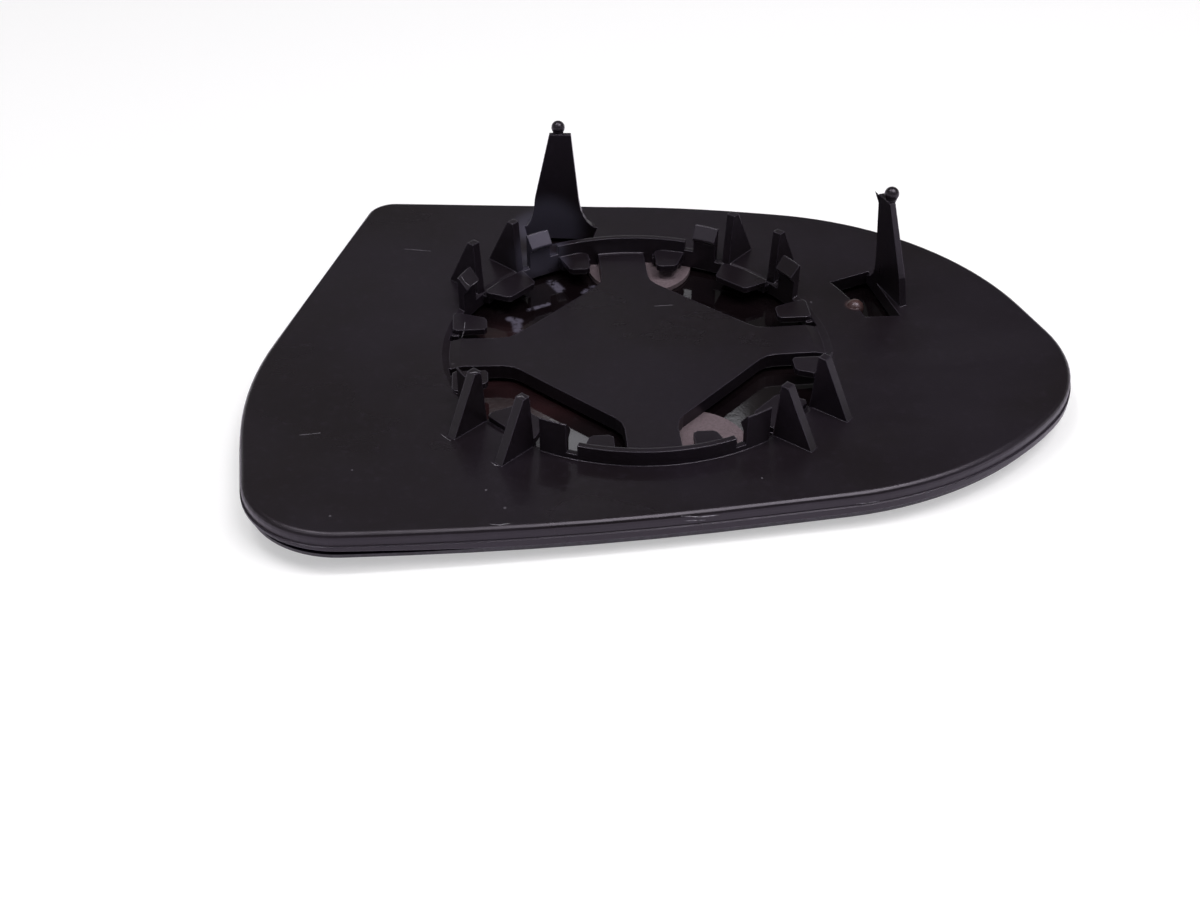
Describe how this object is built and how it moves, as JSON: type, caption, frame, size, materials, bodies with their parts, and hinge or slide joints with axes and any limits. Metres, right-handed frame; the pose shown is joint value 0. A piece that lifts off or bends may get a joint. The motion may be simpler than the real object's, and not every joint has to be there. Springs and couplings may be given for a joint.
{
  "type": "car door mirror glass",
  "caption": "Convex car door mirror glass bonded to a black moulded backing plate with a clip ring of snap hooks, seat tabs and fins, and tall ball-tipped guide stalks.",
  "frame": {"origin": "on the axis of the clip ring, where it meets the dished back of the plate", "axes": "+Z out of the back along the clip ring's axis, +X along the plate's longest extent towards its pointed end, +Y across it; the glass faces -Z"},
  "size_m": [0.1633, 0.1204, 0.0327],
  "materials": {
    "black_plastic": "fine satin moulding grain, semi-gloss",
    "silvered_glass": "polished, silvered on the back, ground bevel",
    "bonding_foam": "matt speckled bonding foam"
  },
  "bodies": {
    "root": {"backing_plate": "black_plastic", "mirror_glass": "silvered_glass", "far_bonding_pad": "bonding_foam", "near_bonding_pad": "bonding_foam"}
  },
  "joints": []
}
